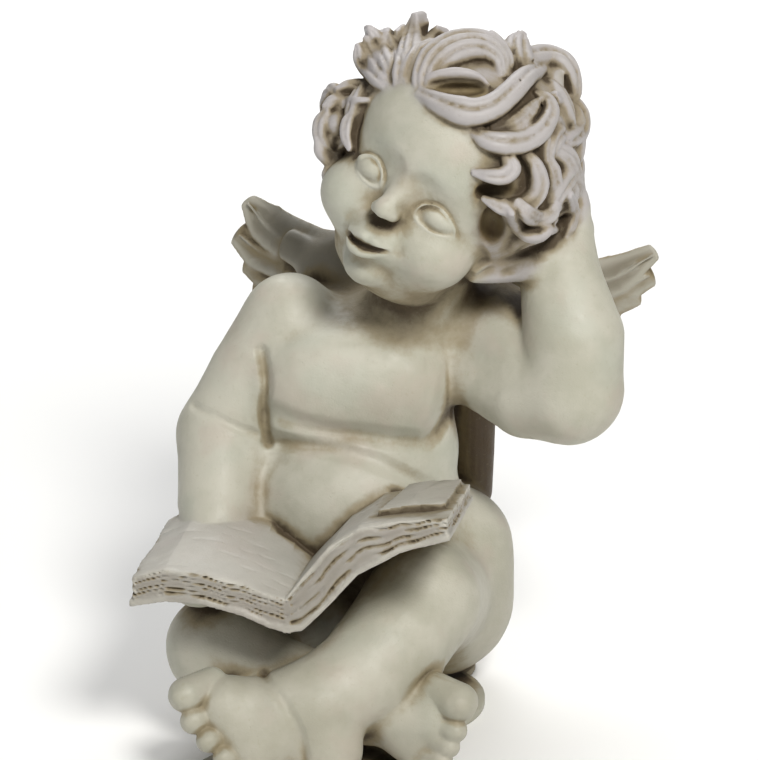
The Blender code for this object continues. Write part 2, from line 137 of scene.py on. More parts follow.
# Each such curl's length, bend in degrees, steps and lift, and the head's radius.
CURL_LENGTH = 50
CURL_BEND = 260
CURL_STEPS = 12
CURL_LIFT = 6
CURL_ROUND = 66
# Half the width and length of the mass of hair under the locks.
CAP_WIDE = 61
CAP_LONG = 65
# Each wing's root and the tips of its feathers, from the top one down.
FEATHER_OUT = (0, -1, 0.15)
WINGS = [
    (Vector((-2, 62, 230)), [(-53, 92, 271), (-58, 95, 251), (-53, 97, 234), (-49, 98, 217),
                             (-42, 98, 199), (-32, 96, 181), (-20, 92, 164), (-6, 88, 148)]),
    (Vector((62, 58, 226)), [(177, 72, 247), (175, 76, 233), (168, 79, 221), (157, 81, 207),
                             (143, 83, 189), (122, 84, 170), (92, 82, 146), (78, 80, 122)]),
]
# The book: place along each side from the spine, then the pages' top and underside, near and far.
SPINE = Vector((-27, -118, 0))
SPINE_TURN = math.radians(-9.4)
LEFT_PAGES = [(-85, 122, 119, 106, 103), (-66, 128, 129, 110, 111), (-46, 127, 129, 110, 111),
              (-24, 122, 123, 105, 105), (-10, 118, 115, 99, 97), (2, 115, 105, 97, 87)]
RIGHT_PAGES = [(-2, 115, 105, 97, 87), (8, 129, 117, 99, 92), (22, 147, 133, 114, 104),
               (38, 159, 143, 133, 120), (60, 165, 149, 147, 134), (86, 168, 152, 156, 142)]
PAGE_DEPTH = 90
COVER = 3.4
LEAVES = (6, 4)
# How far the pages stand back from the cover, how deep the lines between them are, and the rows of marks.
PAGE_INSET = 1.2
PAGE_CUT = 2.2
ROW_SPACING = 11
# The loose leaf on the right pages: first and last place along, then near and far edge, and its thickness.
LEAF = (44, 80, 26, 87, 3.4)
# The picture: its width in pixels and the pixels to a metre at the target. Then the camera: its sensor
# in millimetres, and its distance and target in metres.
PICTURE = 760
SCALE = 1815
SENSOR = 36
VIEW_DISTANCE = 1.7
VIEW_TARGET = Vector((0.022, 0, 0.196))
FLOOR_SIZE = 12
# The skin's triangles, and how far beside a fine line its facets are split.
TRIANGLES = 194000
LINE_SPREADS = (1.25, 1.1)
# The cast's slight lumps: their height, width and seed.
LUMPS = ((0.28, 13, 3), (0.12, 4.5, 8))
NOISE_CELLS = 64
# How far off the skin the patina and painted shade look: outwards for hollows, inwards for edges and for the
# kind.
HOLLOW_REACHES = (("seam", 1.8), ("fold", 5.5), ("shade", 16))
EDGE_REACH = 2.4
KIND_REACH = 0.9
SOFTENINGS = 4
# The way up and forward, towards the light, in which what hangs over a point is looked for, and how far along
# it; what is found there casts a painted shadow.
ABOVE = (0.15, -0.45, 0.88)
ROOF_STEPS = (5, 11, 18, 27, 38, 52)
# The colours of the stone and of its patina, and of the painted shade and highlight.
IVORY = (0.39, 0.38, 0.305)
PALE_IVORY = (0.48, 0.465, 0.39)
ROSY = (0.44, 0.38, 0.32)
MOSSY = (0.40, 0.42, 0.35)
ASH_HAIR = (0.385, 0.36, 0.37)
PAGE = (0.38, 0.36, 0.345)
# The book's upright sides, painted darker as shade.
PAGE_SIDE_SHADE = (0.20, 0.175, 0.14)
# The wings' brown tone: their patina together with painted shade.
FEATHER = (0.165, 0.145, 0.105)
# The near black of painted shade, in the deepest recesses and on the wing's under side beside the waist.
RECESS = (0.085, 0.052, 0.02)
# Edges worn pale and painted lighter as a highlight, on the skin and on the hair.
HIGHLIT_WORN = (0.62, 0.60, 0.52)
HIGHLIT_WORN_HAIR = (0.55, 0.52, 0.55)
# The colour that the stone is painted towards the bottom.
LOW_DARKENING = (0.25, 0.215, 0.15)
# Olive and umber: the patina in seams and folds, and painted shade in the wider hollows and under overhangs.
OLIVE = (0.225, 0.175, 0.09)
UMBER = (0.05, 0.032, 0.015)
FLECK = (0.3, 0.26, 0.17)


def unit(vector):
    return Vector(vector).normalized()


def dot(a, b):
    return sum(a[k] * b[k] for k in range(3))


def offsets(places, point):
    """How far the places along X, Y and Z lie from the point."""
    return [place - middle for place, middle in zip(places, point)]


def within(part, whole):
    """The slices of a part of the grid, counted from where the whole starts."""
    return tuple(slice(p.start - w.start, p.stop - w.start) for p, w in zip(part, whole))


def mixed(low, part, read):
    """What read gives at the eight corners round each place, mixed by how near they are."""
    total = np.zeros(len(low), np.float32)
    for corner in range(8):
        pick = [(corner >> k) & 1 for k in range(3)]
        weight = np.prod([part[:, k] if pick[k] else 1 - part[:, k] for k in range(3)], axis=0)
        total += weight * read(tuple(low[:, k] + pick[k] for k in range(3)))
    return total


def smooth_path(points, steps=5):
    """Points of a smooth curve through the given ones."""
    p = [Vector(point) for point in points]
    p = [p[0] * 2 - p[1]] + p + [p[-1] * 2 - p[-2]]
    made = []
    for a, b, c, d in zip(p, p[1:], p[2:], p[3:]):
        for i in range(steps):
            t = i / steps
            made.append(0.5 * (2 * b + (c - a) * t + (2 * a - 5 * b + 4 * c - d) * t * t
                               + (3 * b - a - 3 * c + d) * t ** 3))
    return made + [p[-2]]


class Clay:
    """A block of clay: at each place of a grid, the millimetres to its surface, minus inside."""

    def __init__(self, low, high, step):
        self.low = np.array(low, np.float32)
        self.step = step
        self.shape = [int(round((b - a) / step)) + 1 for a, b in zip(low, high)]
        self.field = np.full(self.shape, FAR, np.float32)
        self.kind = np.full(self.shape, SKIN, np.uint8)

    def window(self, points, reach):
        """The part of the grid within reach of the points, and its places along X, Y and Z."""
        points = np.array(points, np.float32).reshape(-1, 3)
        low = np.floor((points.min(0) - reach - self.low) / self.step).astype(int)
        high = np.ceil((points.max(0) + reach - self.low) / self.step).astype(int) + 1
        cut = tuple(slice(max(0, a), max(0, min(n, b))) for a, b, n in zip(low, high, self.shape))
        places = [self.low[i] + self.step * np.arange(c.start, c.stop, dtype=np.float32)
                  for i, c in enumerate(cut)]
        return cut, np.ix_(*places)

    def join(self, cut, distance, blend, hollow=False):
        """Adds a form with a fillet as wide as blend, or takes a hollow one out with rounded rims."""
        sign = -1 if hollow else 1
        distance = distance.astype(np.float32)
        old = self.field[cut] * sign
        mix = np.clip(blend - np.abs(old - distance), 0, None) / max(blend, 1e-6)
        self.field[cut] = sign * (np.minimum(old, distance) - mix * mix * (blend * 0.25))

    def ball(self, centre, radii, turn=None, blend=6.0, hollow=False, margin=14.0):
        """A round form with its radii along the axes of turn."""
        radii = np.broadcast_to(np.array(radii, np.float32), (3,))
        cut, places = self.window([centre], float(radii.max()) + margin)
        q = offsets(places, centre)
        if turn is not None:
            q = [dot(q, axis) for axis in turn.col]
        near = sum((a / r) ** 2 for a, r in zip(q, radii)) ** 0.5
        slope = sum((a / (r * r)) ** 2 for a, r in zip(q, radii)) ** 0.5
        distance = np.where(near < 1e-3, -radii.min(), near * (near - 1) / np.maximum(slope, 1e-9))
        self.join(cut, distance, blend, hollow)

    def tube(self, points, radii, blend=4.0, wide=1.0, out=None, hollow=False, margin=10.0):
        """A form swept along the points, wide times as broad across as it is thick along out."""
        points = [Vector(point) for point in points]
        marks = np.linspace(0, 1, len(radii))
        radii = np.interp(np.linspace(0, 1, len(points)), marks, radii)
        cut, _ = self.window(points, radii.max() * max(1, wide) + margin)
        best = np.full_like(self.field[cut], FAR * 4)
        for i, (a, b) in enumerate(zip(points, points[1:])):
            part, places = self.window([a, b], max(radii[i], radii[i + 1]) * max(1, wide) + margin)
            inner = within(part, cut)
            length = max((b - a).length, 1e-6)
            axis = (b - a) / length
            q = offsets(places, a)
            along = dot(q, axis)
            share = np.clip(along / length, 0, 1)
            radius = radii[i] + (radii[i + 1] - radii[i]) * share
            if wide == 1:
                size = np.sqrt(sum((q[k] - share * (axis[k] * length)) ** 2 for k in range(3)))
            else:
                lift = Vector(out)
                lift = unit(lift - axis * lift.dot(axis))
                across = dot(q, axis.cross(lift)) / wide
                size = np.sqrt(across ** 2 + dot(q, lift) ** 2 + (along - share * length) ** 2)
            best[inner] = np.minimum(best[inner], size - radius)
        self.join(cut, best, blend, hollow)

    def groove(self, points, width, depth, through=0):
        """A soft furrow along the points. Along the view it reaches as far as through says."""
        points = [Vector(point) for point in points]
        cut, spot = self.window(points, max(width, through) + 2)
        if through:
            way = unit(VIEW_IN)
            points = [point - way * point.dot(way) for point in points]
            along = dot(spot, way)
            spot = [spot[k] - along * way[k] for k in range(3)]
        best = None
        for a, b in zip(points, points[1:]):
            axis = b - a
            q = offsets(spot, a)
            share = np.clip(dot(q, axis) / max(axis.length_squared, 1e-6), 0, 1)
            off = sum((q[k] - share * axis[k]) ** 2 for k in range(3))
            best = off if best is None else np.minimum(best, off)
        fall = np.clip(1 - best / (width * width), 0, None)
        self.field[cut] += (depth * fall * fall).astype(np.float32)

    def mark(self, work, kind):
        """Does a piece of the work and marks where it changes the clay as that kind of surface."""
        before = self.field.copy()
        work(self)
        self.kind[np.abs(self.field - before) > 0.05] = kind

    def tint(self, centre, radii, kind):
        """Marks all that lies in a ball as that kind of surface."""
        cut, places = self.window([centre], max(radii))
        near = sum((q / radius) ** 2 for q, radius in zip(offsets(places, centre), radii))
        self.kind[cut][near < 1] = kind

    def between(self, points, read):
        """What read gives at the grid places round each point, mixed by how near they are."""
        place = (np.asarray(points, np.float32) - self.low) / self.step
        place = np.clip(place, 0, np.array(self.shape) - 1.001)
        low = place.astype(int)
        return mixed(low, (place - low).astype(np.float32), read)

    def distance_at(self, points):
        return self.between(points, lambda index: self.field[index])

    def share_of(self, kind, points):
        return self.between(points, lambda index: (self.kind[index] == kind).astype(np.float32))

    def slice_below(self, height):
        z = self.low[2] + self.step * np.arange(self.shape[2], dtype=np.float32)
        self.field = np.maximum(self.field, (height - z)[None, None, :])


def head(x, y, z):
    """A point in the head's own axes, x to its left, y to its back and z to its crown."""
    return HEAD + HEAD_AXES @ Vector((x, y, z))


def head_path(points, steps=5):
    return smooth_path([head(*point) for point in points], steps)


def beside_head(u, v):
    """The place that the picture shows u across and v up from the head's middle, as deep as that."""
    return HEAD + Vector((1, 0, 0)) * u + VIEW_UP * v


def on_hair(u, v, lift):
    """The point of the lifted skull that the picture shows at u and v."""
    spot = beside_head(u, v)
    eye = VIEW_TARGET / MM - VIEW_IN * VIEW_DISTANCE / MM
    size = SKULL + Vector((lift, lift, lift))
    p, d = (Vector([a / b for a, b in zip(HEAD_AXES.transposed() @ way, size)])
            for way in (spot - HEAD, unit(spot - eye)))
    middle = -p.dot(d) / d.length_squared
    near = p + d * middle
    gap = near.length_squared
    if gap < 1:
        near = p + d * (middle - math.sqrt((1 - gap) / d.length_squared))
    return head(*[a * b for a, b in zip(near, size)])


def seen(c, u, v, lift):
    """The lifted point of the clay that the picture shows at u and v."""
    depths = np.arange(90, -60, -0.5)
    start = beside_head(u, v)
    places = np.array(start)[None, :] - np.array(VIEW_IN)[None, :] * depths[:, None]
    first = int(np.argmax(c.distance_at(places) < 0))
    return start - VIEW_IN * (float(depths[first]) + lift)


def seat_and_legs(c):
    c.ball((10, 40, 57), (72, 48, 52), blend=0)
    c.ball((12, 28, 92), (60, 45, 46), blend=18)
    c.ball((-30, 38, 46), (40, 42, 40), blend=14)
    c.ball((52, 28, 54), (47, 46, 46), blend=14)
    # the right leg, folded in behind
    c.tube([(-30, 10, 54), (-66, -50, 58)], [38, 28], blend=16)
    c.tube([(-66, -50, 58), (-40, -66, 44), (0, -72, 34), (24, -78, 30)], [28, 27, 23, 16], blend=8)
    # the left leg, crossed in front
    c.ball((61, 30, 84), (37, 34, 36), blend=12)
    c.tube([(48, 18, 60), (46, -46, 85)], [42, 31], blend=8)
    c.tube([(44, -48, 84), (34, -64, 74), (14, -84, 58), (-12, -100, 46)], [31, 30.5, 28, 24], blend=5)


def toes(c, tips, radii, back, nail_way):
    """The toes of one foot from the big one down, each with its nail."""
    for i, (tip, radius) in enumerate(zip(tips, radii)):
        tip = Vector(tip)
        root = tip + Vector((back[0], back[1], 1 - i))
        c.tube([root, tip], [radius * 0.9, radius], blend=1.6)
        way = unit(nail_way)
        nail = tip + way * radius * 0.72
        side = unit(way.cross(unit(tip - root)))
        turn = Matrix((side, way, side.cross(way))).transposed()
        c.ball(nail, (radius * 0.52, radius * 0.36, radius * 0.56), turn, blend=0.3, margin=4)


def left_foot(c):
    c.tube([(-10, -98, 46), (-32, -104, 44), (-54, -106, 44)], [24, 22, 18], blend=8)
    c.ball((-6, -112, 26), (19, 18, 17), blend=8)
    c.ball((-60, -108, 50), (16, 17, 16), blend=8)
    c.ball((-44, -114, 30), (20, 18, 19), blend=10)
    fold = [(-40, -98, 62), (-31, -108, 56), (-23, -112, 44), (-19, -114, 32), (-18, -112, 22)]
    c.groove(smooth_path(fold), 4.5, 1.7, through=14)
    tips = [(-81, -115, 60), (-77, -121, 47.5), (-69, -125, 38), (-60.5, -128, 29.5), (-51, -129, 22)]
    toes(c, tips, (9.5, 7, 6.6, 6.3, 6), (13, 13), (-0.45, -0.85, 0.3))


def right_foot(c):
    c.tube([(14, -76, 34), (32, -88, 34), (50, -94, 36)], [18, 18, 16], blend=6)
    c.ball((52, -92, 44), (13, 14, 13), blend=6)
    c.ball((42, -90, 22), (17, 15, 15), blend=6)
    c.tube([(40, -84, 52), (50, -80, 60)], [9, 6], blend=5)
    tips = [(64, -105, 51), (62, -109, 36), (59, -110, 27), (55, -110, 19), (49, -109, 13)]
    toes(c, tips, (10.5, 6.8, 6.2, 5.8, 5.4), (-12, 13), (0.2, -0.95, 0.25))


def torso(c):
    for centre, radii, blend in (
            ((8, 14, 118), (58, 50, 48), 16), ((4, -4, 128), (50, 42, 40), 12),
            ((15, 18, 152), (51, 42, 36), 14), ((14, 22, 186), (49, 42, 42), 14),
            ((-19, 3, 177), (24, 22, 28), 12), ((-4, 0, 198), (36, 22, 26), 20),
            ((33, 0, 193), (29, 22, 27), 16), ((28, 30, 214), (51, 27, 22), 16)):
        c.ball(centre, radii, blend=blend)
    c.tube([(38, 28, 214), (50, 10, 262)], [27, 25], blend=14)
    chest = [(-38, -18, 184), (-14, -28, 179), (14, -30, 175), (38, -26, 170), (47, -20, 168), (54, -14, 175),
             (58, -10, 188), (60, -8, 197), (64, -8, 208)]
    belly = [(-42, -20, 168), (-16, -34, 170), (4, -38, 167), (26, -38, 159), (46, -32, 146), (60, -20, 136)]
    c.groove(smooth_path(chest), 8, 2.7, through=14)
    c.groove(smooth_path(belly), 7, 2.5, through=14)


def arms(c):
    c.tube([(-28, 27, 221), (-49, 20, 192), (-66, 12, 160)], [27, 24.5, 24.5], blend=10)
    c.tube([(-66, 12, 160), (-68, -16, 130), (-72, -44, 106)], [24.5, 22, 15], blend=6)
    c.tube([(-44, 8, 172), (-48, -2, 138), (-50, -20, 112)], [11, 12, 10], blend=12)
    fold = [(-80, -2, 181), (-68, -8, 177), (-57, -10, 172), (-47, -10, 168)]
    c.groove(smooth_path(fold), 4, 1.6, through=14)
    elbow = [(148, -38, 178), (141, -44, 172), (134, -44, 169)]
    c.groove(smooth_path(elbow), 3.5, 1.6, through=12)
    c.tube([(-72, -44, 104), (-76, -76, 103)], [13, 9], blend=6, wide=1.5, out=(0, 0, 1))
    c.tube([(84, 24, 216), (106, 2, 206), (127, -18, 196)], [29, 28, 26.5], blend=12)
    c.tube([(127, -18, 198), (127, -14, 226), (118.5, -2, 264)], [27.5, 28, 21], blend=4)
    c.tube([(68, 14, 200), (84, 5, 194), (103, -8, 190), (123, -17, 194)], [18, 20, 24, 26], blend=8)
    beside = [(-43, -14, 218), (-41, -12, 206), (-40, -12, 196), (-42, -14, 185), (-41, -16, 172),
              (-40, -16, 165)]
    c.groove(smooth_path(beside), 5, 2.8, through=16)


def hand(c):
    """The left hand, bent back under the hair, with its heel against the jaw."""
    c.tube([(119, -3, 262), (121, 6, 280), (120, 14, 300)], [20.5, 17.5, 14], blend=5)
    for i in range(4):
        knuckle = Vector((129 - 4 * i, 10 * i, 286))
        middle = knuckle + Vector((-1, 3, 14))
        tip = knuckle + Vector((-11, 5, 27))
        c.tube(smooth_path([knuckle, middle, tip], 3), [7.2, 6.6, 5.6], blend=2)
    heel = [(108, -12, 268), (94, -19, 268), (81, -25, 268), (73, -28, 267)]
    c.tube(smooth_path(heel, 4), [11, 8.4, 7.4, 5.4], blend=4)
    rim = [(102, -22, 272), (94, -27, 275), (86, -28.5, 272.5), (80, -32, 275.5), (73, -34, 271)]
    c.tube(smooth_path(rim, 4), [3, 3.4, 3, 3.4, 2.6], blend=2)
    under = [(99, -29, 267), (91, -30, 268.5), (84, -34, 266.5), (76, -35, 267)]
    c.tube(smooth_path(under, 4), [1.2, 2, 2, 1.4], blend=1.5, hollow=True)


def wings(c):
    for root, tips in WINGS:
        for i, tip in enumerate(tips):
            tip = Vector(tip)
            base = root + Vector((0, 0.9 * i, 16 - 7 * i))
            way = tip - base
            sag = Vector((0, 7, -0.14 * way.length * max(0, 1 - i / 5)))
            path = smooth_path([base, base + way * 0.4 + sag * 0.8, base + way * 0.75 + sag, tip], 4)
            end = 1.8 if i == 0 else 2.8
            c.tube(path, [4.4, 4.6, 4.4, 4.0, end], blend=1.6, wide=3.0, out=FEATHER_OUT, margin=4)
            for face in (-1, 1):
                shaft = [point + Vector((0, 4.3 * face, 0)) for point in path[2:]]
                c.tube(shaft, [1.5, 1.3, 0.8], blend=1.2, margin=3)
        for face in (-1, 1):
            for i in range(4):
                start = root + Vector((0, 3 * face, 10 - 8 * i))
                tip = root.lerp(Vector(tips[i * 2]), 0.55) + Vector((0, 3 + 4 * face, -3))
                c.tube([start, tip], [6, 4.6], blend=1.2, wide=2.0, out=FEATHER_OUT, margin=4)
        c.ball(root, (20, 13, 27), blend=10)
    c.ball((30, 54, 204), (42, 18, 42), blend=16)


def wing_underside(c):
    """The folded under side of the wing, which shows beside the waist."""
    c.tube([(64, 62, 214), (75, 66, 176), (74, 62, 106)], [16, 14.5, 13], blend=6)


def head_mass(c):
    """The skull, brow, jaw, both cheeks, muzzle, chin and throat."""
    for centre, radii, blend in (
            ((0, 2, 2), SKULL, 8), ((0, -22, 10), (45, 38, 38), 12), ((0, -14, -52), (38, 32, 26), 14),
            ((-26, -30, -42), (22, 22, 20), 9), ((24, -30, -42), (22, 22, 20), 9),
            ((0, -43, -51.5), (14.5, 14.4, 12.5), 8), ((0, -36, -69), (13, 12, 10.5), 6),
            ((0, -8, -70), (31, 25, 16), 9)):
        c.ball(head(*centre), radii, HEAD_AXES, blend=blend)


def face(c):
    head_mass(c)
    for side in (-1, 1):
        c.ball(head(20 * side, -61.5, -19), (14, 9.5, 8.5), HEAD_AXES, blend=12, hollow=True)
        c.ball(head(11 * side, -66, -13), (6, 7, 6), HEAD_AXES, blend=9, hollow=True)
        c.ball(head(21.8 * side, -40.5, -21.8), (12.6, 12.6, 8.6), HEAD_AXES, blend=1.2)
    nose(c)
    lips(c)


def nose(c):
    bridge = [head(-0.5, -49.5, -13), head(-0.6, -54.4, -22), head(-0.8, -58.8, -29.5)]
    c.tube(bridge, [4.8, 4.5, 4.7], blend=8)
    c.ball(head(-0.8, -60.8, -32.2), (5.1, 5.1, 4.8), HEAD_AXES, blend=4)
    for side in (-1, 1):
        c.ball(head(5 * side - 0.8, -55.6, -34 + 0.6 * side), (3.2, 4.9, 3.1), HEAD_AXES, blend=4)
        nostril = head(3 * side - 0.8, -58.4, -37.4 + 0.5 * side)
        c.ball(nostril, (1.1, 1.6, 0.8), HEAD_AXES, blend=1, hollow=True)


def lips(c):
    upper = [(-13.6, -50.4, -55.2), (-7.6, -55.6, -52.8), (-3, -57.8, -51.2), (0.2, -57.2, -51.2),
             (3.6, -57.6, -50.4), (7.4, -55.2, -50.6), (11.4, -50.5, -51)]
    lower = [(-11.4, -51.6, -58.8), (-6.4, -55.6, -60.4), (-0.6, -57, -60), (4.6, -55.6, -57.8),
             (9, -52, -54.8)]
    c.tube(head_path(upper, 3), [1, 1.9, 2.3, 2.1, 2.3, 1.9, 1], blend=3)
    c.tube(head_path(lower, 3), [1.3, 2.5, 3, 2.5, 1.3], blend=3)
    c.ball(head(0, -54, -65.6), (9, 4, 2.2), HEAD_AXES, blend=4, hollow=True)
    for fold in ([(-10, -55, -40), (-15.4, -53, -44), (-19, -50, -50)],
                 [(9.5, -55, -39), (13.5, -53, -43.5), (16, -51, -48.5)]):
        c.groove(head_path(fold, 4), 4, 0.8)
    c.groove([head(-0.4, -60, -43), head(-0.4, -60, -49)], 2.2, 0.5)


def face_lines():
    """Fine lines of the face, each with half its width and its rise: lids, creases and the mouth."""
    lines = []
    for lid, lower in (([(11.4, -52.9, -26), (13.4, -55.6, -20.4), (16.9, -56.6, -16.4), (21.9, -55, -14.8),
                         (27.5, -50.3, -17), (33.1, -44.8, -22.2), (35.4, -42.7, -26)],
                        [(11.4, -52.9, -26.4), (16.2, -51.2, -29), (22.7, -49.8, -29.8), (28.6, -47.8, -28.8),
                         (35.2, -42.7, -26)]),
                       ([(-10.8, -55.3, -25), (-12.8, -57, -18.6), (-18.3, -56.8, -14.6),
                         (-24.9, -53.3, -15.2), (-30.4, -48, -19.6), (-33.6, -45, -24.6)],
                        [(-10.8, -55.3, -25), (-15.6, -52.2, -28.4), (-21.8, -50.1, -29.2), (-28, -48, -28),
                         (-33.4, -45, -24.6)])):
        middle = np.mean(lid, axis=0)
        for share, half, rise in ((1.0, 1.6, 1.0), (0.83, 1.1, -0.7), (1.2, 1.5, -0.6)):
            line = [middle + (np.array(point) - middle) * (share, 1, share) for point in lid]
            lines.append((head_path(line), half, rise))
        lines.append((head_path(lower), 1.5, 0.7))
    parting = [(-15.2, -50, -56.6), (-7.8, -57, -56.4), (-1, -60, -55.4), (5.4, -57.4, -54), (13, -50, -51.4)]
    lines.append((head_path(parting), 1.55, -2.1))
    return lines


def cap(c):
    """The mass of hair that the locks lie on, behind the hairline."""
    cut, places = c.window([HEAD], 74)
    a, b, d = (dot(offsets(places, HEAD), axis) for axis in HEAD_AXES.col)
    mass = (np.sqrt((a / CAP_WIDE) ** 2 + ((b - 1) / CAP_LONG) ** 2 + (d / CAP_WIDE) ** 2) - 1) * CAP_WIDE
    front = -(0.97 * b + 0.25 * d + 36)
    neck = -(d * 0.88 + 0.47 * b + 34)
    c.join(cut, np.maximum.reduce([mass, front, neck]), 3)


def lock(c, path, width, strands, toward=(0, 0, 0)):
    """A band of hair with rounded strands side by side and steep sides, which narrows towards its tip."""
    last = len(path) - 1
    ways = [unit(path[min(i + 1, last)] - path[max(i - 1, 0)]) for i in range(last + 1)]
    sides = [unit(way.cross(unit(point - HEAD) + Vector(toward))) for way, point in zip(ways, path)]
    ups = [side.cross(way) for side, way in zip(sides, ways)]
    reach = max(width * 1.2, LOCK_DEPTH) + 2
    cut, _ = c.window(path, reach)
    off, across, rise, beyond, t = (np.full_like(c.field[cut], value)
                                    for value in (FAR ** 2, FAR, FAR, 0, 0))
    for i, (a, b) in enumerate(zip(path, path[1:])):
        part, places = c.window([a, b], reach)
        inner = within(part, cut)
        axis = b - a
        q = offsets(places, a)
        share = dot(q, axis) / max(axis.length_squared, 1e-6)
        held = np.clip(share, 0, 1)
        near = [q[k] - held * axis[k] for k in range(3)]
        gap = sum(near[k] ** 2 for k in range(3))
        closer = gap < off[inner]
        over = np.maximum(-share if i == 0 else 0, share - 1 if i == last - 1 else 0) * axis.length
        side, up = ([old + held * gain for old, gain in zip(axes[i], axes[i + 1] - axes[i])]
                    for axes in (sides, ups))
        found = (gap, dot(near, side), dot(near, up), over + 0 * gap, (i + held) / last)
        for kept, new in zip((off, across, rise, beyond, t), found):
            kept[inner] = np.where(closer, new, kept[inner])
    size = width * np.minimum(1, 0.6 + 1.4 * t) * (1 - 0.62 * t ** 3)
    spread = np.clip(across / size, -1, 1)
    place = (spread + 0.12 * (1 - spread ** 2) + 1) / 2 * strands
    ridge = np.sqrt(1 - 0.92 * (2 * (place - np.minimum(np.floor(place), strands - 1)) - 1) ** 2)
    top = size * (0.3 * (1 - spread ** 2) + (0.75 / strands + 0.08) * ridge - 0.12)
    body = np.maximum.reduce([(rise - top) * 0.8, np.hypot(across, beyond) - size, -rise - LOCK_DEPTH])
    c.join(cut, body, 0.8)


def curl(lon, lat, turn):
    """A comma of hair that starts at lon and lat on the head and rolls up to one side as it goes."""
    a, b = math.radians(lon), math.radians(lat)
    here = Vector((math.sin(a) * math.cos(b), -math.cos(a) * math.cos(b), math.sin(b)))
    east = Vector((math.cos(a), math.sin(a), 0))
    way = Matrix.Rotation(math.radians(90 + 70 * turn), 3, here) @ east
    path = []
    for i in range(CURL_STEPS + 1):
        t = i / CURL_STEPS
        rise = CURL_LIFT * math.sin(math.pi * min(1, t * 1.1))
        path.append(head(*[h * (s + rise) for h, s in zip(here, BACK_OF_HEAD)]))
        here = unit(here + way * (CURL_LENGTH / CURL_STEPS / CURL_ROUND))
        way = unit(way - here * way.dot(here))
        bend = CURL_BEND * turn / CURL_STEPS * (0.4 + 1.2 * t)
        way = Matrix.Rotation(math.radians(bend), 3, here) @ way
    return path


def hair_mass(c):
    cap(c)
    c.ball((4, 15, 341), (9, 14, 18), blend=6)
    for spot, radius in HAIR_FILLINGS:
        c.ball(on_hair(*spot), radius, blend=3)


def hair_hollows(c):
    view = Matrix(((1, 0, 0), VIEW_UP, VIEW_IN)).transposed()
    for spot, radii in HAIR_HOLLOWS:
        c.ball(on_hair(*spot), radii, view, blend=2, hollow=True)


def hair(c):
    for row, (lat, start, end, count, width) in enumerate(CURL_ROWS):
        for i in range(count):
            lon = start + (end - start) * (i + 0.25 + 0.5 * (row % 2)) / count
            turn = 1 if (i + row) % 2 else -1
            lock(c, curl(lon, lat, turn), width, 3)
    points, width, strands = TEMPLE_LOCK
    lock(c, smooth_path(points), width, strands)
    for points, width, strands in LOCKS:
        lock(c, smooth_path([on_hair(*point) for point in points]), width, strands, -VIEW_IN)


def wrist_locks(c):
    for points, width, strands in WRIST_LOCKS:
        path = [seen(c, *point) for point in points]
        lock(c, smooth_path(path), width, strands, -VIEW_IN)


def leaf_lines(along, level, leaves):
    """How far the edges of the pages are cut in: broken lines that follow the leaves."""
    wander = 0.22 * np.sin(along * 0.13) + 0.1 * np.sin(along * 0.37 + 1.3)
    place = level * leaves + wander
    row = np.floor(place)
    broken = np.sin(along * 0.11 + row * 2.4) + np.sin(along * 0.27 + row * 4.1)
    line = np.clip(np.cos((place - row - 0.5) * 2 * math.pi), 0, 1) ** 2
    return PAGE_CUT * line * np.clip(0.8 + 0.45 * broken, 0.25, 1)


def book(c):
    """The open book: two bent blocks of leaves on a plain cover, with a loose leaf on the right one."""
    out = Vector((math.cos(SPINE_TURN), math.sin(SPINE_TURN), 0))
    deep = Vector((-out.y, out.x, 0))
    points = [(x, y, z) for x in (-120, 80) for y in (-140, -10) for z in (90, 177)]
    cut, (x, y, z) = c.window(points, 4)
    a = (x - SPINE.x) * out.x + (y - SPINE.y) * out.y + 0 * z
    b = (x - SPINE.x) * deep.x + (y - SPINE.y) * deep.y + 0 * z
    share = np.clip(b / PAGE_DEPTH, -0.1, 1.1)
    best = None
    for rows, slope, side, leaves in ((LEFT_PAGES, 0.95, -1, LEAVES[0]), (RIGHT_PAGES, 0.78, 1, LEAVES[1])):
        marks = [row[0] for row in rows]
        top, low = (np.interp(a, marks, [row[k] for row in rows]) * (1 - share)
                    + np.interp(a, marks, [row[k + 1] for row in rows]) * share for k in (1, 3))
        end = abs(rows[0][0] if side < 0 else rows[-1][0])
        over = top - strokes(a, b) - z
        level = np.clip((z - low - COVER) / np.maximum(top - low - COVER, 1), 0, 1)
        inset, inset_end = (np.where(z < low + COVER, 0, PAGE_INSET + leaf_lines(along, level, leaves))
                            for along in (a, b + 31))
        block = np.maximum.reduce([-over * slope, (low - z) * slope, -side * a - 2,
                                   side * a - end + inset_end, -b + inset, b - PAGE_DEPTH + inset])
        best = block if best is None else np.minimum(best, block)
    start, end, near, far, thick = LEAF
    loose = np.maximum.reduce([z - top - thick, top - 1 - z, start + 0.12 * (b - near) - a, a - end,
                               near - b, b - far])
    c.join(cut, np.minimum(best, loose), 0.8)


def strokes(a, b):
    """Shallow wavy marks in loose rows over the pages."""
    row = np.floor(b / ROW_SPACING)
    wave = b + 1.6 * np.sin(a * 0.16 + row * 1.7)
    line = np.clip(np.cos(wave * 2 * math.pi / ROW_SPACING), 0, 1) ** 6
    broken = np.sin(a * 0.19 + row * 2.9) + np.sin(a * 0.07 + row * 1.1)
    swell = 0.5 * np.sin(a * 0.11 + 0.6) * np.sin(b * 0.09)
    return 0.7 * line * np.clip(broken, 0, 1) + swell


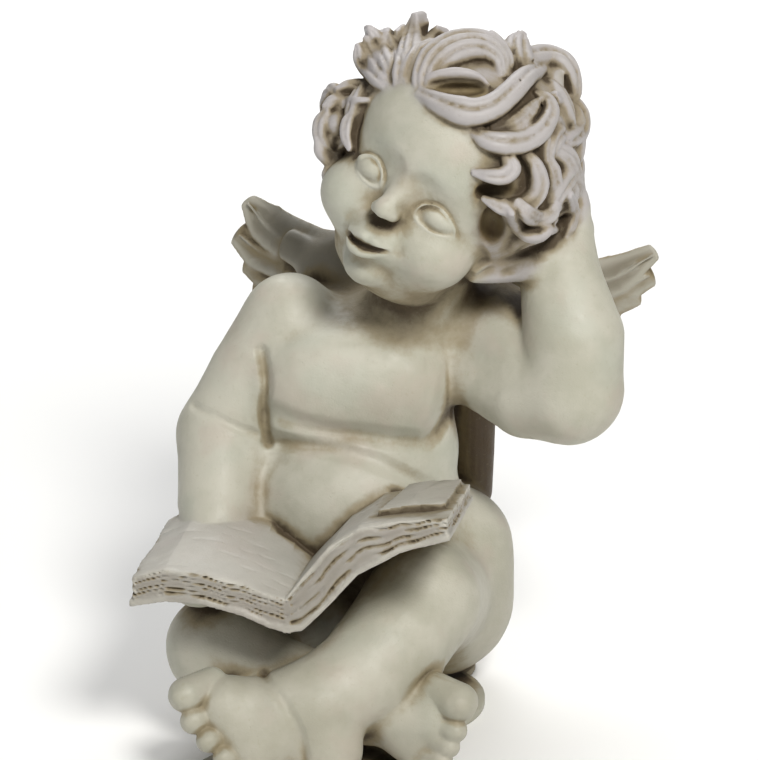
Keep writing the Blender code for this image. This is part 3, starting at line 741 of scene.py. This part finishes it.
def base(c):
    """The low base: the outline of the figure where it sits, from the ground up."""
    points = [(x, y, 0) for x in (-96, 110) for y in (-132, 100)]
    cut, (x, y, z) = c.window(points, 4)
    flat = 1e3 + 0 * (x + y)
    for (middle_x, middle_y), (wide, long) in BASE_ROUNDS:
        near = np.sqrt(((x - middle_x) / wide) ** 2 + ((y - middle_y) / long) ** 2)
        flat = np.minimum(flat, (near - 1) * min(wide, long))
    c.join(cut, np.maximum(flat + 0 * z, z - BASE_HEIGHT), 4)


def sculpt(low, high):
    """The whole figure, with its kinds of surface marked."""
    c = Clay(low, high, GRAIN)
    for work in (seat_and_legs, torso, arms, left_foot, right_foot):
        work(c)
    # The wings are marked for their brown tone, partly painted shade.
    c.mark(wings, WING)
    # The wing's under side beside the waist is painted dark as shade.
    c.mark(wing_underside, PAINTED_SHADE)
    c.mark(book, BOOK)
    face(c)
    c.mark(hair_mass, HAIR)
    # The hollows between the locks are painted dark as shade.
    c.mark(hair_hollows, PAINTED_SHADE)
    c.mark(hair, HAIR)
    # The recesses beside the neck and the cheek are painted dark as shade.
    for spot, radii in DARK_RECESSES:
        c.tint(spot, radii, PAINTED_SHADE)
    hand(c)
    c.mark(wrist_locks, HAIR)
    base(c)
    c.slice_below(0)
    return c


def surface(c, name):
    """A mesh object of the clay's outer surface, in metres."""
    grid = openvdb.FloatGrid(FAR)
    grid.copyFromArray(c.field)
    points, quads = grid.convertToQuads(0.0)
    points = ((points * c.step + c.low) * MM).astype(np.float32)
    quads = quads.astype(np.int32)
    mesh = bpy.data.meshes.new(name)
    mesh.vertices.add(len(points))
    mesh.vertices.foreach_set("co", points.ravel())
    mesh.loops.add(len(quads) * 4)
    mesh.loops.foreach_set("vertex_index", quads.ravel())
    mesh.polygons.add(len(quads))
    mesh.polygons.foreach_set("loop_start", np.arange(0, len(quads) * 4, 4, dtype=np.int32))
    mesh.update(calc_edges=True)
    made = bpy.data.objects.new(name, mesh)
    bpy.context.scene.collection.objects.link(made)
    keep_outer_skin(made)
    return made


def edge_ends(mesh):
    """The two points of each edge."""
    ends = np.empty(len(mesh.edges) * 2, np.int32)
    mesh.edges.foreach_get("vertices", ends)
    return ends.reshape(-1, 2)


def keep_outer_skin(thing):
    """Removes every part but the largest, such as the walls of sealed bubbles."""
    mesh = thing.data
    ends = edge_ends(mesh)
    label = np.arange(len(mesh.vertices))
    while True:
        new = label.copy()
        np.minimum.at(new, ends.ravel(), label[ends].min(1).repeat(2))
        new = new[new]
        if (new == label).all():
            break
        label = new
    values, counts = np.unique(label, return_counts=True)
    stray = label != values[counts.argmax()]
    if stray.any():
        shape = bmesh.new()
        shape.from_mesh(mesh)
        shape.verts.ensure_lookup_table()
        bmesh.ops.delete(shape, geom=[shape.verts[i] for i in np.flatnonzero(stray)], context="VERTS")
        shape.to_mesh(mesh)
        shape.free()


def places_of(shape):
    return np.array([vert.co for vert in shape.verts], np.float32) / MM


def draw_lines(thing, lines):
    """Splits the facets along fine lines and raises or sinks the surface there, with a rounded profile."""
    shape = bmesh.new()
    shape.from_mesh(thing.data)
    for spread in LINE_SPREADS:
        near = np.flatnonzero(rise_beside(places_of(shape), lines, spread)[1])
        shape.verts.ensure_lookup_table()
        edges = {edge for i in near for edge in shape.verts[i].link_edges}
        bmesh.ops.subdivide_edges(shape, edges=list(edges), cuts=1, use_grid_fill=True)
    shape.normal_update()
    rise = rise_beside(places_of(shape), lines, 1.0)[0]
    shape.verts.ensure_lookup_table()
    for i in np.flatnonzero(rise):
        vert = shape.verts[i]
        vert.co += vert.normal * float(rise[i] * MM)
    shape.to_mesh(thing.data)
    shape.free()


def rise_beside(places, lines, spread):
    """How far each place is raised by the lines, as they are seen from the front, and whether it lies
    within spread times half their width."""
    rise = np.zeros(len(places), np.float32)
    inside = np.zeros(len(places), bool)
    for points, half, height in lines:
        points = np.array(points, np.float32)
        room = half * 2 + 6
        box = (places > points.min(0) - room) & (places < points.max(0) + room)
        index = np.flatnonzero(box.all(1))
        way = np.array(VIEW_IN, np.float32)
        points = points - (points @ way)[:, None] * way
        flat = places[index] - (places[index] @ way)[:, None] * way
        off = np.full(len(index), FAR ** 2, np.float32)
        fade = np.zeros(len(index), np.float32)
        for i, (a, b) in enumerate(zip(points, points[1:])):
            q = flat - a
            share = np.clip(q @ (b - a) / max(((b - a) ** 2).sum(), 1e-9), 0, 1)
            gap = ((q - share[:, None] * (b - a)) ** 2).sum(1)
            closer = gap < off
            off[closer] = gap[closer]
            fade[closer] = ((i + share) / (len(points) - 1))[closer]
        share = np.clip(1 - off / (half * half), 0, 1)
        rise[index] += height * share ** 1.5 * np.clip(np.minimum(fade, 1 - fade) * 7, 0.15, 1)
        inside[index] |= off < (half * spread) ** 2
    return rise, inside


def thin_out(thing, triangles):
    """Collapses the flattest edges until the piece has about that many triangles."""
    total = sum(len(face.vertices) - 2 for face in thing.data.polygons)
    bpy.ops.object.select_all(action="DESELECT")
    bpy.context.view_layer.objects.active = thing
    thing.select_set(True)
    fewer = thing.modifiers.new("Fewer facets", "DECIMATE")
    fewer.ratio = triangles / total
    bpy.ops.object.modifier_apply(modifier=fewer.name)
    thing.data.shade_smooth()


def places_and_normals(mesh):
    places = np.empty(len(mesh.vertices) * 3, np.float32)
    normals = np.empty(len(mesh.vertices) * 3, np.float32)
    mesh.vertices.foreach_get("co", places)
    mesh.vertex_normals.foreach_get("vector", normals)
    return places.reshape(-1, 3) / MM, normals.reshape(-1, 3)


def soft_noise(places, size, seed):
    """Smooth seeded noise from -1 to 1, with lumps of about that size."""
    values = np.random.default_rng(seed).uniform(-1, 1, (NOISE_CELLS,) * 3).astype(np.float32)
    spot = places / size + NOISE_CELLS // 2
    low = np.floor(spot).astype(int)
    part = spot - low
    part = part * part * (3 - 2 * part)
    return mixed(low, part, lambda index: values[tuple(row % NOISE_CELLS for row in index)])


def roughen(thing):
    """The slight unevenness that casting and handling leave."""
    mesh = thing.data
    places, normals = places_and_normals(mesh)
    rise = sum(height * soft_noise(places, size, seed) for height, size, seed in LUMPS)
    rise *= np.clip((places[:, 2] - 1) / 4, 0, 1)
    places += normals * rise[:, None]
    mesh.vertices.foreach_set("co", (places * MM).astype(np.float32).ravel())
    mesh.update()


def paint_depths(c, thing):
    """Point attributes for the patina and the painted shade: how deep each point lies, how sharp it stands,
    how much hangs over it towards the light for a painted shadow, how upright it stands, and its kind."""
    mesh = thing.data
    places, normals = places_and_normals(mesh)
    found = {name: np.clip(1 - c.distance_at(places + normals * reach) / reach, 0, 1)
             for name, reach in HOLLOW_REACHES}
    found["edge"] = np.clip(1 + c.distance_at(places - normals * EDGE_REACH) / EDGE_REACH, 0, 1)
    # Painted shadow: how much lies over each point on the way up and forward, towards the light.
    above = [places + normals * 2 + np.array(ABOVE) * way for way in ROOF_STEPS]
    found["roofed"] = sum(np.clip(0.5 - c.distance_at(spots) / 5, 0, 1) for spots in above) / len(above)
    for name, kind in (("wing", WING), ("book", BOOK), ("hair", HAIR), ("under", PAINTED_SHADE)):
        found[name] = c.share_of(kind, places - normals * KIND_REACH)
    # How upright each point stands, for the book's sides painted darker as shade.
    found["upright"] = np.clip(1.15 - 1.6 * np.abs(normals[:, 2]), 0, 1)
    ends = edge_ends(mesh)
    for name, values in found.items():
        for _ in range(SOFTENINGS):
            values = averaged(values, ends)
        attribute = mesh.attributes.new(name, "FLOAT", "POINT")
        attribute.data.foreach_set("value", values.astype(np.float32))


def averaged(values, ends):
    """Each point's value mixed with those of its neighbours."""
    total = np.bincount(ends[:, 0], values[ends[:, 1]], len(values))
    total += np.bincount(ends[:, 1], values[ends[:, 0]], len(values))
    count = np.bincount(ends.ravel(), minlength=len(values))
    return 0.5 * values + 0.5 * total / np.maximum(count, 1)


class Finish:
    """A material's nodes, added one by one."""

    def __init__(self, name):
        self.material = bpy.data.materials.new(name)
        self.material.use_nodes = True
        self.tree = self.material.node_tree
        self.shader = self.tree.nodes["Principled BSDF"]
        self.places = self.tree.nodes.new("ShaderNodeTexCoord").outputs["Object"]

    def put(self, socket, value):
        if isinstance(value, bpy.types.NodeSocket):
            self.tree.links.new(value, socket)
        else:
            socket.default_value = value

    def noise(self, scale, detail=3.0, roughness=0.55):
        node = self.tree.nodes.new("ShaderNodeTexNoise")
        for name, value in (("Vector", self.places), ("Scale", scale), ("Detail", detail),
                            ("Roughness", roughness)):
            self.put(node.inputs[name], value)
        return node.outputs["Fac"]

    def height(self):
        node = self.tree.nodes.new("ShaderNodeSeparateXYZ")
        self.put(node.inputs[0], self.places)
        return node.outputs[2]

    def pits(self, scale):
        node = self.tree.nodes.new("ShaderNodeTexVoronoi")
        self.put(node.inputs["Vector"], self.places)
        self.put(node.inputs["Scale"], scale)
        return node.outputs["Distance"]

    def worked(self, name):
        node = self.tree.nodes.new("ShaderNodeAttribute")
        node.attribute_name = name
        return node.outputs["Fac"]

    def sum(self, a, b, kind="ADD"):
        node = self.tree.nodes.new("ShaderNodeMath")
        node.operation = kind
        self.put(node.inputs[0], a)
        self.put(node.inputs[1], b)
        return node.outputs[0]

    def times(self, a, b):
        return self.sum(a, b, "MULTIPLY")

    def ramp(self, value, low, high, start=0.0, end=1.0):
        node = self.tree.nodes.new("ShaderNodeMapRange")
        node.interpolation_type = "SMOOTHSTEP"
        for socket, given in zip(node.inputs, (value, low, high, start, end)):
            self.put(socket, given)
        return node.outputs[0]

    def mix(self, share, a, b):
        node = self.tree.nodes.new("ShaderNodeMix")
        node.data_type = "RGBA"
        node.clamp_factor = True
        sockets = [socket for socket in node.inputs if socket.enabled]
        for socket, given in zip(sockets, (share, a, b)):
            self.put(socket, (*given, 1) if isinstance(given, tuple) else given)
        return [socket for socket in node.outputs if socket.enabled][0]

    def coats(self, tone, *rows):
        """The tone under thin coats, each with where it lies, how strong it is there and its colour."""
        for share, amount, colour in rows:
            tone = self.mix(self.times(share, amount), tone, colour)
        return tone

    def bump(self, height, distance, strength, under=None):
        node = self.tree.nodes.new("ShaderNodeBump")
        node.inputs["Distance"].default_value = distance
        node.inputs["Strength"].default_value = strength
        self.put(node.inputs["Height"], height)
        if under is not None:
            self.put(node.inputs["Normal"], under)
        return node.outputs["Normal"]


def cast_stone():
    """Ivory stone with an olive and umber patina, worn back on what stands out, which is also painted lighter
    as a highlight; painted shade darkens its wide hollows, and a painted shadow what lies under overhangs.
    """
    f = Finish("cast_stone_patina_and_painted_light")
    cloud = f.noise(22, 4, 0.6)
    fleck = f.noise(160, 5, 0.65)
    grain = f.noise(900, 3, 0.6)
    seam, fold, shade, edge, wing, book, hair, under, roofed, upright = (
        f.worked(name) for name in "seam fold shade edge wing book hair under roofed upright".split())

    # The edges' tone: worn pale and painted lighter as a highlight.
    highlit_worn = f.mix(hair, HIGHLIT_WORN, HIGHLIT_WORN_HAIR)
    tone = f.mix(f.ramp(cloud, 0.36, 0.64), IVORY, PALE_IVORY)
    tone = f.coats(tone, (f.ramp(f.noise(30, 3), 0.5, 0.66), 0.4, ROSY),
                   (f.ramp(f.noise(17, 2), 0.52, 0.68), 0.4, MOSSY), (hair, 0.8, ASH_HAIR),
                   # The book's upright sides painted darker as shade, and the wings' brown tone, partly
                   # painted shade.
                   (book, 0.6, PAGE), (f.times(book, upright), 0.7, PAGE_SIDE_SHADE), (wing, 0.86, FEATHER),
                   # Painted shade where it is marked, then the edges worn pale and painted lighter as a
                   # highlight.
                   (under, 1, RECESS), (f.ramp(edge, 0.15, 0.6), 0.4, highlit_worn),
                   # Darker towards the bottom.
                   (f.ramp(f.height(), 0.13, 0.0), 0.3, LOW_DARKENING))

    # Patina in seams and folds, painted shade in wide hollows and painted shadow under overhangs, less on
    # worn edges.
    patina_and_shade = f.times(seam, 0.8)
    for share, amount in ((fold, 0.9), (shade, 0.35), (roofed, 0.75), (f.times(hair, fold), 0.35),
                          (f.times(book, seam), 0.6), (f.ramp(fleck, 0.35, 0.75), 0.12),
                          (f.ramp(edge, 0.1, 0.6), -0.35)):
        patina_and_shade = f.sum(patina_and_shade, f.times(share, amount))
    tone = f.coats(tone, (f.ramp(patina_and_shade, 0.3, 0.85), 0.78, OLIVE), (f.ramp(patina_and_shade, 0.75, 1.3), 0.9, UMBER),
                   (f.ramp(f.noise(420, 2), 0.62, 0.72), 0.15, FLECK))
    f.put(f.shader.inputs["Base Color"], tone)

    rough = f.sum(f.ramp(fleck, 0.3, 0.7, 0.44, 0.6), f.times(f.ramp(patina_and_shade, 0.3, 1.0), 0.22))
    f.put(f.shader.inputs["Roughness"], rough)
    f.shader.inputs["Specular IOR Level"].default_value = 0.42
    skin = f.bump(fleck, 0.0012, 0.22)
    skin = f.bump(grain, 0.0005, 0.3, skin)
    skin = f.bump(f.ramp(f.pits(260), 0.0, 0.16), 0.0006, 0.25, skin)
    f.put(f.shader.inputs["Normal"], skin)
    return f.material


def pale_floor():
    f = Finish("pale_floor")
    f.put(f.shader.inputs["Base Color"], f.mix(f.noise(3, 2), (0.86, 0.86, 0.85), (0.9, 0.9, 0.89)))
    f.shader.inputs["Roughness"].default_value = 0.8
    f.put(f.shader.inputs["Normal"], f.bump(f.noise(500, 2), 0.0002, 0.1))
    return f.material


def floor():
    """A wide pale sheet under the statue."""
    bpy.ops.object.select_all(action="DESELECT")
    bpy.ops.mesh.primitive_grid_add(x_subdivisions=24, y_subdivisions=24, size=FLOOR_SIZE)
    made = bpy.context.object
    made.name = "floor"
    bpy.ops.object.transform_apply(location=True, rotation=True, scale=True)
    made.data.materials.append(pale_floor())


def hang(name, data, place, way):
    """Puts a lamp or camera at its place, where it looks along the way."""
    made = bpy.data.objects.new(name, data)
    bpy.context.scene.collection.objects.link(made)
    made.location = place
    made.rotation_euler = way.to_track_quat("-Z", "Y").to_euler()
    return made


def lamp(name, place, aim, size, power, tint=(1, 1, 1)):
    light = bpy.data.lights.new(name, "AREA")
    light.shape = "DISK"
    light.size = size
    light.energy = power
    light.color = tint
    hang(name, light, place, Vector(aim) - Vector(place))


def studio():
    world = bpy.data.worlds.new("studio")
    world.use_nodes = True
    sky = world.node_tree.nodes["Background"]
    sky.inputs["Color"].default_value = (1, 1, 1, 1)
    sky.inputs["Strength"].default_value = 0.2
    bpy.context.scene.world = world
    bpy.context.scene.view_settings.view_transform = "Standard"
    middle = (0.02, 0, 0.2)
    lamp("key", (0.6, -1.5, 1.7), middle, 0.6, 43.5, (1, 0.985, 0.95))
    lamp("fill", (-1.7, -1.3, 0.9), middle, 1.4, 6, (0.95, 0.97, 1))
    lamp("backdrop", (0, 2.6, 2.6), (0, 2.8, 0), 3.0, 110)


def camera():
    """The photograph's view: a little from above, straight on."""
    angle = math.radians(VIEW_ANGLE)
    back = Vector((0, -math.cos(angle), math.sin(angle)))
    view = bpy.data.cameras.new("camera")
    view.sensor_width = SENSOR
    view.lens = SCALE * VIEW_DISTANCE * SENSOR / PICTURE
    bpy.context.scene.camera = hang("camera", view, VIEW_TARGET + back * VIEW_DISTANCE, -back)


def statue():
    low, high = (np.array(corner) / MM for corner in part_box("cherub_statue"))
    c = sculpt(low - ROOM, high + ROOM)
    made = surface(c, "cherub_statue_stone")
    draw_lines(made, face_lines())
    thin_out(made, TRIANGLES)
    roughen(made)
    paint_depths(c, made)
    made.data.materials.append(cast_stone())
    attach(made, "root")
    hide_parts("cherub_statue")


camera()
statue()
floor()
studio()
